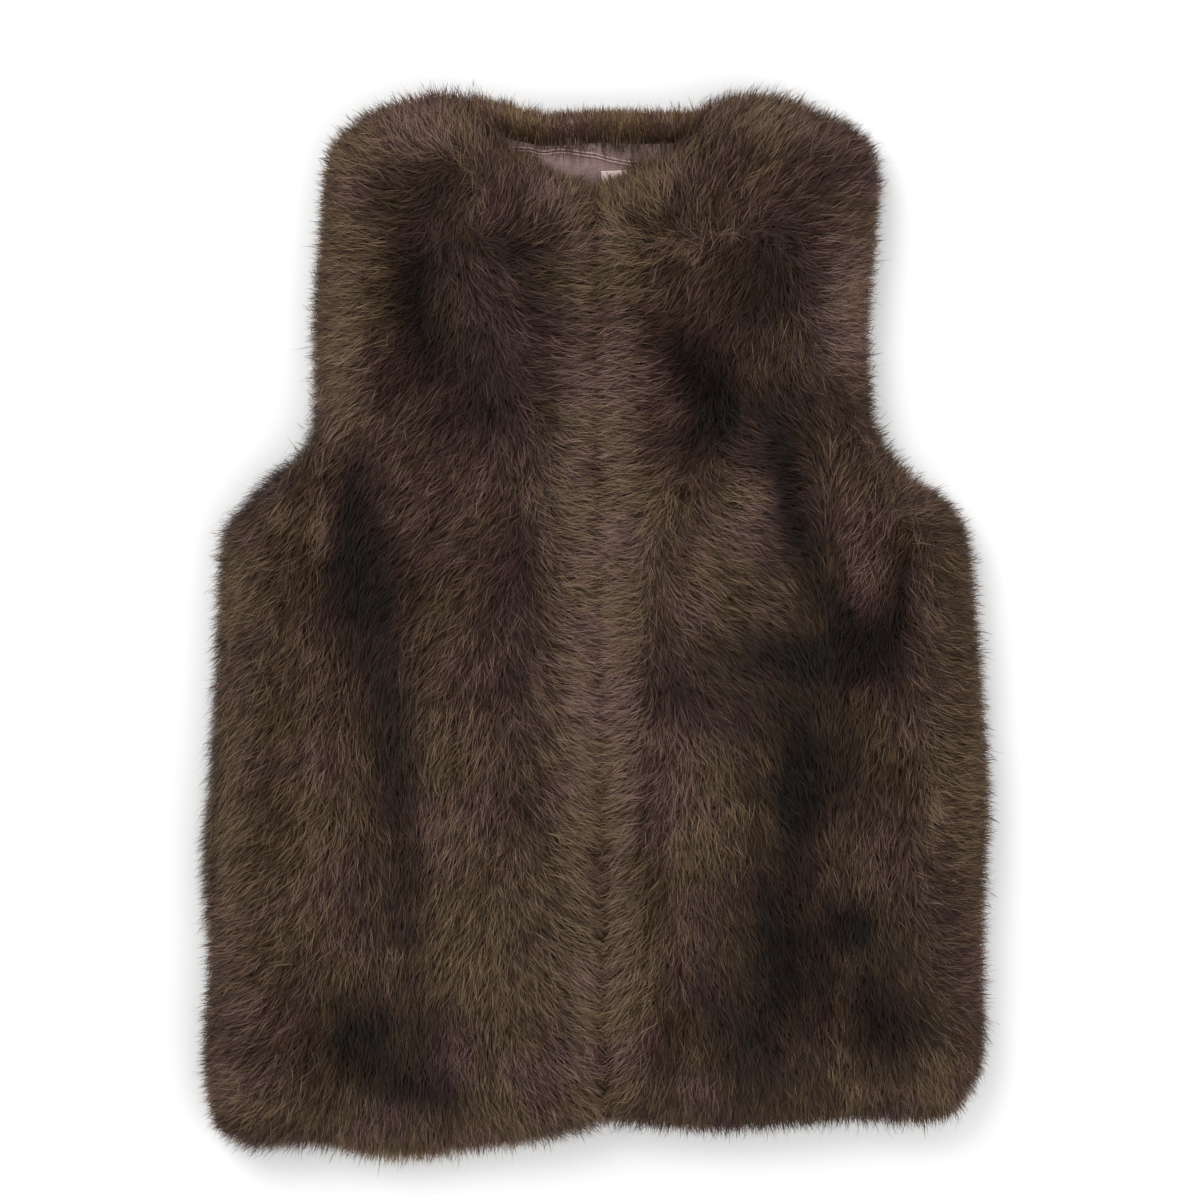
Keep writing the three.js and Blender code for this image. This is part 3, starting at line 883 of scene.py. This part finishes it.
def array_mesh(name, verts, faces, map_x, map_y):
    """One mesh of many like pieces: verts is (pieces, corners, 3), faces are one piece's triangles."""
    count, corners = verts.shape[:2]
    mesh = bpy.data.meshes.new(name)
    mesh.vertices.add(count * corners)
    mesh.vertices.foreach_set("co", verts.astype(np.float32).ravel())
    loops = (np.array(faces)[None] + np.arange(count)[:, None, None] * corners).ravel().astype(np.int32)
    mesh.loops.add(len(loops))
    mesh.loops.foreach_set("vertex_index", loops)
    mesh.polygons.add(len(loops) // 3)
    mesh.polygons.foreach_set("loop_start", np.arange(0, len(loops), 3, dtype=np.int32))
    mesh.update(calc_edges=True)
    layer = mesh.uv_layers.new(name=FUR_MAP)
    places = np.stack([map_x.ravel(), map_y.ravel()], 1).astype(np.float32)
    layer.uv.foreach_set("vector", places[loops].ravel())
    mesh.shade_smooth()
    return bpy.data.objects.new(name, mesh)


# How each kind of lock grows: the lean of its lower and upper half in radians, how far it strays from
# that, how proud its tip is, its length and widths as shares of the settings, and how much paler than
# the pile's tone it is and how unevenly.
WOOL = {
    "lean": (0.45, 1.0),
    "stray": 0.2,
    "proud": 0.0,
    "length": 0.72,
    "widths": (0.7, 1.25),
    "pale": -0.22,
    "vary": 0.3,
}
GUARD = {
    "lean": (0.5, 1.15),
    "stray": 0.24,
    "proud": 2.0 * MM,
    "length": 0.85,
    "widths": (0.7, 1.25),
    "pale": 0.28,
    "vary": 0.6,
}
EDGE = {"lean": (0.2, 0.4), "stray": 0.2, "length": 1.0, "widths": (0.9, 1.7), "pale": 0.3, "vary": 0.25}
RIM = {"widths": (1.0, 2.2), "pale": 0.1, "vary": 0.3}
PRESSED = {"lean": (1.3, 1.45), "stray": 0.2, "length": 1.1, "widths": (2.0, 3.2), "pale": 0.2, "vary": 0.2}


def finish_locks(name, points, normals, places, tone, kind, width, rng, root_shade=0.0):
    """Varies the tone and width of locks of one kind, joins them and gives them the fur's finish."""
    tone = varied(tone, kind["pale"], kind["vary"], rng)
    widths = width * rng.uniform(*kind["widths"], len(tone))
    piece = lock_mesh(name, points, normals, widths, tint_of(places, tone, rng), root_shade)
    finish_piece(piece, material_once(fur_material, "modacrylic_fur_brushed"), "fur")


class VEST_OT_underfur(bpy.types.Operator):
    """Makes the shells of short wool that the fur panels' guard hairs stand on"""

    bl_idname = "vest.underfur"
    bl_label = "Underfur"

    def execute(self, context):
        material = material_once(underfur_material, "modacrylic_underfur")
        for node in ("back", "front_right", "front_left"):
            finish_piece(underfur(node), material, "fur", node)
        return {"FINISHED"}


class VEST_OT_front_fur(bpy.types.Operator):
    """Grows the pile of both fronts, wool and guard hair, combed as it lies"""

    bl_idname = "vest.front_fur"
    bl_label = "Fur of the fronts"

    def execute(self, context):
        fur = context.scene.vest_fur

        def outside(middle, normal):
            weight = WALL_WEIGHT - WALL_EXTRA * np.abs(normal[:, 2])
            return np.where(normal[:, 2] > UNDERSIDE, weight, 0.0)

        kinds = (("wool", WOOL, fur.wool_width), ("guard", GUARD, fur.guard_width))
        for number, side in enumerate(("right", "left")):
            for turn, (layer, kind, width) in enumerate(kinds):
                rng = np.random.default_rng(fur.seed + 2 * number + turn)
                surface, normals = scatter(f"front_{side}", fur.locks_per_front, rng, outside)
                count = len(surface)
                # The pile of each front spills over the line where they meet, and hides it.
                near_meeting = 1 - np.abs(surface[:, 0] - meeting_line(surface[:, 1])) / MEETING_SPILL
                facing_it = np.abs(normals[:, 0]) * np.clip(near_meeting, 0, 1)
                proud = kind["proud"] + facing_it * rng.uniform(0.0, MEETING_CROSS, count)
                wall = np.clip(WALL_SOFTNESS * (1 - np.abs(normals[:, 2])), 0, 1)
                at_neck = (np.abs(surface[:, 0]) < NECK_REACH) & (surface[:, 1] > NECK_Y)
                fringe = rng.normal(FRINGE_MIDDLE, FRINGE, count)
                proud += wall * fringe * np.where(at_neck, NECK_FRINGE, 1.0)
                at_left = wall * np.clip(-normals[:, 0], 0, 1) * (surface[:, 0] < LEFT_SIDE_X)
                proud += at_left * LEFT_FULLER
                at_shoulder = np.clip(normals[:, 1] - SHOULDER_TILT, 0, 1) * (surface[:, 1] > SHOULDER_Y)
                proud += at_shoulder * rng.uniform(0.0, SHOULDER_RISE, count)
                proud += np.clip(-normals[:, 1] - HEM_TILT, 0, 1) * rng.uniform(0.0, HEM_FALL, count)
                neckward = np.clip(normals[:, 1], 0, 1) * at_neck
                proud += neckward * rng.uniform(0.0, NECK_SPILL, count)
                for at_x, at_y, reach, depth in NECK_BARED:
                    off = np.hypot(surface[:, 0] - at_x, surface[:, 1] - at_y) / reach
                    proud -= neckward * np.exp(-(off**2)) * (depth + NECK_SPILL / 2)
                length = np.full(count, fur.pile_length * kind["length"])
                flow = combed(surface)
                points = grow(
                    surface, normals, flow, length, kind["lean"], rng, fur.tuft_size, kind["stray"], proud
                )
                swing(points, -wall * np.abs(rng.normal(0, SEAM_SAG, count)))
                name = f"fur_front_{side}_{layer}"
                finish_locks(name, points, normals, surface, tone_of(surface), kind, width, rng)
        return {"FINISHED"}


RIM_SPAN = (-74 * MM, 72 * MM)
RIM_SPREAD = (1.5, 1.5)  # it thins out towards both ends, by this shape of a beta spread
RIM_FOOT_Z = 17.5 * MM
RIM_DEPTH = 9 * MM  # from the rim's foot to its crest, seen from above
RIM_CREST_RISE = 8 * MM
RIM_PAST = (-5 * MM, 3 * MM)  # how far past the neck's outline its tips end, and how unevenly
RIM_RUN = (6 * MM, 24 * MM)  # the shortest and longest way that a lock lies
RIM_RISE = (-1 * MM, 9 * MM)  # the least and most that it rises on the way
RIM_CREST_SHARE = 0.4  # at the crest it rises less by this share
RIM_DRIFT = 0.2  # how unevenly locks turn to either side
RIM_WAVE = (0.25, 7 * MM)  # how far, and how often, waves of them turn together
RIM_BEND = (0.4, 0.45, 0.5)  # shares of its way across, along and up at which a lock bends
RIM_BULGE = 2.5 * MM

OUTLINE_STEP = 6 * MM
OUTLINE_HALF_WIDTH = 100 * MM


def neck_outline():
    """The back's highest places across the neck, as x and y."""
    bm = solid_copy("back")
    places = [v.co for v in bm.verts if v.co.y > BACK_NECK_Y]
    xs = np.arange(-OUTLINE_HALF_WIDTH, OUTLINE_HALF_WIDTH, OUTLINE_STEP)
    ys = np.array([max(c.y for c in places if abs(c.x - x) < OUTLINE_STEP + 1 * MM) for x in xs])
    bm.free()
    return xs, ys


def rim_locks(count, rng):
    """Locks that root on the rim's inner face and lie up over its crest to the neck's outline."""
    foot = facing_edge(1)
    x = RIM_SPAN[0] + (RIM_SPAN[1] - RIM_SPAN[0]) * rng.beta(*RIM_SPREAD, count)
    foot_y = np.interp(x, [c.x for c in foot], [c.y for c in foot])
    crest_y = np.interp(x, *neck_outline())
    up = rng.random(count)
    root = np.stack([x, foot_y + up * RIM_DEPTH, RIM_FOOT_Z + up * RIM_CREST_RISE], 1)
    run = np.clip(crest_y + rng.normal(*RIM_PAST, count) - root[:, 1], *RIM_RUN)
    drift = rng.normal(0, RIM_DRIFT, count) + RIM_WAVE[0] * np.sin(x / RIM_WAVE[1]) * rng.random(count)
    rise = rng.uniform(*RIM_RISE, count) * (1 - up * RIM_CREST_SHARE)
    way = np.stack([drift * run, run, rise], 1)
    tip = root + way
    middle = root + way * RIM_BEND + (0, 0, RIM_BULGE)
    return [root, middle, tip], np.tile([0.0, -0.3, 1.0], (count, 1))


EDGE_HEM_EXTRA = 1.0  # the back's hem carries this much more pile than its sides
TURNED_UP_WEIGHT = 0.6  # and its turned-up edge carries this share of theirs, and as short
TURNED_UP_LEAN = (-1.2, 0.9)  # on it locks lean in, over the lining's edge, or out
EDGE_DROOP = 0.4  # locks on the edges hang towards the hem by this share
EDGE_HEM_FALL = 5 * MM
EDGE_NECK_SHORT = 3 * MM  # behind the neck, where the rim's own locks lie, they end this much lower
EDGE_LIFT = 1.5 * MM  # on the whole, locks of the side seams bend up by this
EDGE_TUFT = 0.4  # tufts are this share as big there
# The back's edge pile is painted paler: partly its own paler fringe and partly painted light against the
# shade it lies in, low under the fronts.
EDGE_PALER = 0.18
# The rim is painted darker at its foot, as painted shade down in its recess, and paler at its crest, as
# painted light.
RIM_SHADES = (0.8, 0.35)  # the rim's tone at its foot, as a share, and how much more at its crest
RIM_ROOT_SHADE = 0.6  # its roots are in the light, so its locks start this far up the map
UNDER_FACING = -0.9  # the pressed pile grows where the back faces down by more than this
UNDER_WHORL = (0, 250 * MM, 0)  # it runs away from here
UNDER_SPREAD = (1, 0.8, 0)


class VEST_OT_back_fur(bpy.types.Operator):
    """Grows the pile round the back's edges and neck, and presses it flat underneath"""

    bl_idname = "vest.back_fur"
    bl_label = "Fur of the back"

    def execute(self, context):
        fur = context.scene.vest_fur
        rng = np.random.default_rng(fur.seed + 10)

        def edges(middle, normal):
            outward = (normal[:, :2] * middle[:, :2]).sum(1) > 0
            wall = (np.abs(normal[:, 2]) < FLAT) & outward
            turned_up = (normal[:, 2] > STEEP) & (middle[:, 2] > RIM_FOOT_Z)
            extra = EDGE_HEM_EXTRA * (middle[:, 1] < HEM_Y)
            return np.where(wall, 1.0 + extra, 0.0) + np.where(turned_up, TURNED_UP_WEIGHT + extra, 0.0)

        surface, normals = scatter("back", fur.locks_on_back, rng, edges)
        count = len(surface)
        flow = unit(normals * (1, 1, 0) + (1e-3, -EDGE_DROOP, 0))
        level = normals[:, 2] > STEEP
        flow[level] = unit(surface[level] * (1, 1, 0))
        lean_out = np.where(level[:, None], flow * rng.uniform(*TURNED_UP_LEAN, (count, 1)), 0.0)
        growth = unit(normals + lean_out)
        length = np.where(level, TURNED_UP_WEIGHT, EDGE["length"]) * fur.pile_length
        proud = rng.normal(FRINGE_MIDDLE, FRINGE, count) + (surface[:, 0] < LEFT_SIDE_X) * LEFT_FULLER
        proud += np.clip(-normals[:, 1], 0, 1) * rng.uniform(0.0, EDGE_HEM_FALL, count)
        behind_neck = (np.abs(surface[:, 0]) < NECK_REACH) & (surface[:, 1] > BACK_NECK_Y)
        proud -= behind_neck * EDGE_NECK_SHORT
        size = fur.tuft_size * EDGE_TUFT
        points = grow(surface, growth, flow, length, EDGE["lean"], rng, size, EDGE["stray"], proud)
        swing(points, np.where(level, 0.0, rng.normal(EDGE_LIFT, SEAM_SAG, count)))
        # Paler edge pile, partly as painted light against the shade near the floor.
        tone = tone_of(surface) + EDGE_PALER
        finish_locks("fur_back_edge", points, normals, surface, tone, EDGE, fur.guard_width, rng)

        points, normals = rim_locks(fur.locks_at_neck, rng)
        root, _, tip = points
        # Painted shade at the rim's foot, painted light on its crest.
        crestward = np.clip((root[:, 2] - RIM_FOOT_Z) / RIM_CREST_RISE, 0, 1)
        tone = tone_of(tip) * (RIM_SHADES[0] + RIM_SHADES[1] * crestward)
        finish_locks("fur_neck_rim", points, normals, tip, tone, RIM, fur.guard_width, rng, RIM_ROOT_SHADE)

        def beneath(middle, normal):
            return np.where(normal[:, 2] < UNDER_FACING, 1.0, 0.0)

        surface, normals = scatter("back", fur.locks_under_back, rng, beneath)
        count = len(surface)
        flow = unit((surface - UNDER_WHORL) * UNDER_SPREAD)
        length = np.full(count, fur.pile_length * PRESSED["length"])
        lean, stray = PRESSED["lean"], PRESSED["stray"]
        points = grow(surface, normals, flow, length, lean, rng, fur.tuft_size, stray, np.zeros(count))
        tone = tone_of(surface)
        finish_locks("fur_back_under", points, normals, surface, tone, PRESSED, fur.wool_width, rng)
        return {"FINISHED"}


PIPING_RADIUS = 0.7 * MM
PIPING_RISE = 0.5 * MM
PIPING_STEP = 2 * MM
PIPINGS = (("upper", 1.2), ("lower", -1.5))  # how many radii each lies above the seam
STITCH_PITCH = 2.6 * MM
STITCH_SIZE = (0.75 * MM, 0.16 * MM, 0.16 * MM)
STITCH_SLANT = 0.5
STITCH_SEAT = Vector((0, PIPING_RADIUS * 3.2, 0.1 * MM))  # how far below and in the seam they lie


class VEST_OT_satin(bpy.types.Operator):
    """Sews in the satin lining and neck facing, and the double piping on their seam"""

    bl_idname = "vest.satin"
    bl_label = "Satin lining"

    def execute(self, context):
        material = material_once(satin_material, "polyester_satin_woven")
        finish_piece(creased_satin("lining_back", "satin_lining"), material, "satin", "lining_back")
        finish_piece(creased_satin("neck_facing", "satin_facing"), material, "satin", "neck_facing")

        seam = facing_edge(-1)
        xs = np.arange(seam[0].x + 1 * MM, seam[-1].x - 1 * MM, PIPING_STEP)
        ys = np.interp(xs, [c.x for c in seam], [c.y for c in seam])
        rise = seam[0].z + PIPING_RISE
        route = [pulled_seam(Vector((x, y, rise)), seam) for x, y in zip(xs, ys)]
        pale = material_once(piping_material, "polyester_satin_piping")
        for name, offset in PIPINGS:
            bm = bmesh.new()
            tube(bm, [c + Vector((0, PIPING_RADIUS * offset, 0)) for c in route], PIPING_RADIUS)
            finish_piece(piece_from(bm, f"satin_piping_{name}"), pale, "satin")

        bm = bmesh.new()
        left, right = route[0].x, route[-1].x
        place = left + STITCH_PITCH
        while place < right - STITCH_PITCH:
            after = next(i for i, c in enumerate(route) if c.x > place)
            a, b = route[after - 1], route[after]
            at = a.lerp(b, (place - a.x) / (b.x - a.x))
            turn = Matrix.Rotation(math.atan2(b.y - a.y, b.x - a.x) + STITCH_SLANT, 4, "Z")
            size = Matrix.Diagonal((*STITCH_SIZE, 1))
            seat = Matrix.Translation(at - STITCH_SEAT)
            bmesh.ops.create_icosphere(bm, subdivisions=1, radius=1, matrix=seat @ turn @ size)
            place += STITCH_PITCH
        thread = material_once(thread_material, "polyester_thread_twisted")
        finish_piece(piece_from(bm, "neck_stitches"), thread, "satin")
        return {"FINISHED"}


LABEL_SIZE = (42 * MM, 16 * MM)
LABEL_CORNER = Vector((2.5 * MM, 273.5 * MM))
LABEL_TILT = 0.05
LABEL_THICKNESS = 0.25 * MM
LABEL_FOLD = 3 * MM  # turned under at both ends
FOLD_RISE = 0.16 * MM  # which lifts the ends by this
LABEL_CURL = (8 * MM, 1.3 * MM)  # reach and height of its lifted corner
LABEL_CRIMP = (0.05 * MM, 1.3 * MM, 2.1 * MM)  # height of its waves, and how often along and down
LABEL_CLEARANCE = 0.05 * MM


class VEST_OT_label(bpy.types.Operator):
    """Weaves the bare label, with its folded ends, and sews it on the lining"""

    bl_idname = "vest.label"
    bl_label = "Label"

    def execute(self, context):
        floor_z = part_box("label")[0].z
        length, width = LABEL_SIZE
        bm = bmesh.new()
        bmesh.ops.create_grid(bm, x_segments=42, y_segments=16, size=0.5)
        bmesh.ops.solidify(bm, geom=bm.faces[:], thickness=-LABEL_THICKNESS)
        lowest = min(v.co.z for v in bm.verts)
        for vert in bm.verts:
            along, down = (vert.co.x + 0.5) * length, (0.5 - vert.co.y) * width
            layer = vert.co.z - lowest
            end = min(along, length - along)
            fold = FOLD_RISE if end < LABEL_FOLD and layer > 0 else 0.0
            reach, height = LABEL_CURL
            curl = height * max(0.0, 1 - math.hypot(along, down) / reach) ** 2
            rise, often_along, often_down = LABEL_CRIMP
            crimp = rise * math.sin(along / often_along) * math.sin(down / often_down)
            vert.co = Vector((along, -down, floor_z + LABEL_CLEARANCE + layer + fold + curl + crimp))
        bmesh.ops.rotate(bm, verts=bm.verts, cent=(0, 0, 0), matrix=Matrix.Rotation(LABEL_TILT, 3, "Z"))
        bmesh.ops.translate(bm, verts=bm.verts, vec=(*LABEL_CORNER, 0))
        bmesh.ops.recalc_face_normals(bm, faces=bm.faces)
        material = material_once(label_material, "polyester_label_woven")
        finish_piece(piece_from(bm, "label_woven"), material, "label", "label")
        return {"FINISHED"}


class VEST_OT_cloth(bpy.types.Operator):
    """Does nothing to the sheets of cloth"""

    bl_idname = "vest.cloth"
    bl_label = "Sheets of cloth"

    def execute(self, context):
        return {"FINISHED"}


FLOOR_HALF_SIZE = 4
PHOTO_MIDDLE = (1.8 * MM, 16 * MM)  # the photograph's middle on the vest's own axes
SIGHT_LEVEL = 20 * MM  # the level that the view's width is measured at
LIGHTS = (  # name, place, size and watts
    ("key_light", (-0.9, 1.3, 1.8), 1.2, 26.0),
    ("fill_light", (1.2, -0.9, 1.9), 1.6, 14.0),
)
ROOM_LIGHT = 0.75


class VEST_OT_stage(bpy.types.Operator):
    """Sets the pale floor, the soft lights and the camera straight above the vest"""

    bl_idname = "vest.stage"
    bl_label = "Stage"

    def execute(self, context):
        stage = context.scene.vest_stage
        bm = bmesh.new()
        bmesh.ops.create_grid(bm, x_segments=1, y_segments=1, size=FLOOR_HALF_SIZE)
        floor = piece_from(bm, "floor", smooth=False)
        context.scene.collection.objects.link(floor)
        material, _, shader = new_material("paper_matt_white")
        shader.inputs["Base Color"].default_value = rgba(linear("#fafafa"))
        shader.inputs["Roughness"].default_value = 0.9
        floor.data.materials.append(material)

        world = bpy.data.worlds.new("soft_room")
        world.use_nodes = True
        background = world.node_tree.nodes["Background"]
        background.inputs["Color"].default_value = (1, 1, 1, 1)
        background.inputs["Strength"].default_value = ROOM_LIGHT
        context.scene.world = world
        for name, place, size, power in LIGHTS:
            light = bpy.data.lights.new(name, "AREA")
            light.shape, light.size, light.energy = "SQUARE", size, power
            lamp = bpy.data.objects.new(name, light)
            lamp.location = place
            lamp.rotation_mode = "QUATERNION"
            lamp.rotation_quaternion = (-Vector(place)).to_track_quat("-Z", "Y")
            context.scene.collection.objects.link(lamp)

        camera = bpy.data.cameras.new("camera")
        camera.lens = stage.lens
        distance = stage.view_width * stage.lens / camera.sensor_width
        mount = bpy.data.objects.new("camera", camera)
        mount.location = (*PHOTO_MIDDLE, distance + SIGHT_LEVEL)
        context.scene.collection.objects.link(mount)
        context.scene.camera = mount
        context.scene.view_settings.view_transform = "Standard"
        return {"FINISHED"}


class VEST_PT_panel(bpy.types.Panel):
    """Lists the steps that build the vest"""

    bl_label = "Faux fur vest"
    bl_space_type = "VIEW_3D"
    bl_region_type = "UI"
    bl_category = "Vest"

    def draw(self, context):
        for name in STEPS:
            self.layout.operator(f"vest.{name}")
        for group in (context.scene.vest_fur, context.scene.vest_colours, context.scene.vest_stage):
            for key in group.__annotations__:
                self.layout.prop(group, key)


STEPS = ("underfur", "front_fur", "back_fur", "satin", "label", "cloth", "stage")
CLASSES = (
    FurSettings,
    ColourSettings,
    StageSettings,
    VEST_OT_underfur,
    VEST_OT_front_fur,
    VEST_OT_back_fur,
    VEST_OT_satin,
    VEST_OT_label,
    VEST_OT_cloth,
    VEST_OT_stage,
    VEST_PT_panel,
)


def register():
    for cls in CLASSES:
        bpy.utils.register_class(cls)
    bpy.types.Scene.vest_fur = PointerProperty(type=FurSettings)
    bpy.types.Scene.vest_colours = PointerProperty(type=ColourSettings)
    bpy.types.Scene.vest_stage = PointerProperty(type=StageSettings)


def unregister():
    del bpy.types.Scene.vest_stage
    del bpy.types.Scene.vest_colours
    del bpy.types.Scene.vest_fur
    for cls in reversed(CLASSES):
        bpy.utils.unregister_class(cls)


def main():
    register()
    for name in STEPS:
        getattr(bpy.ops.vest, name)()


if __name__ == "__main__":
    main()
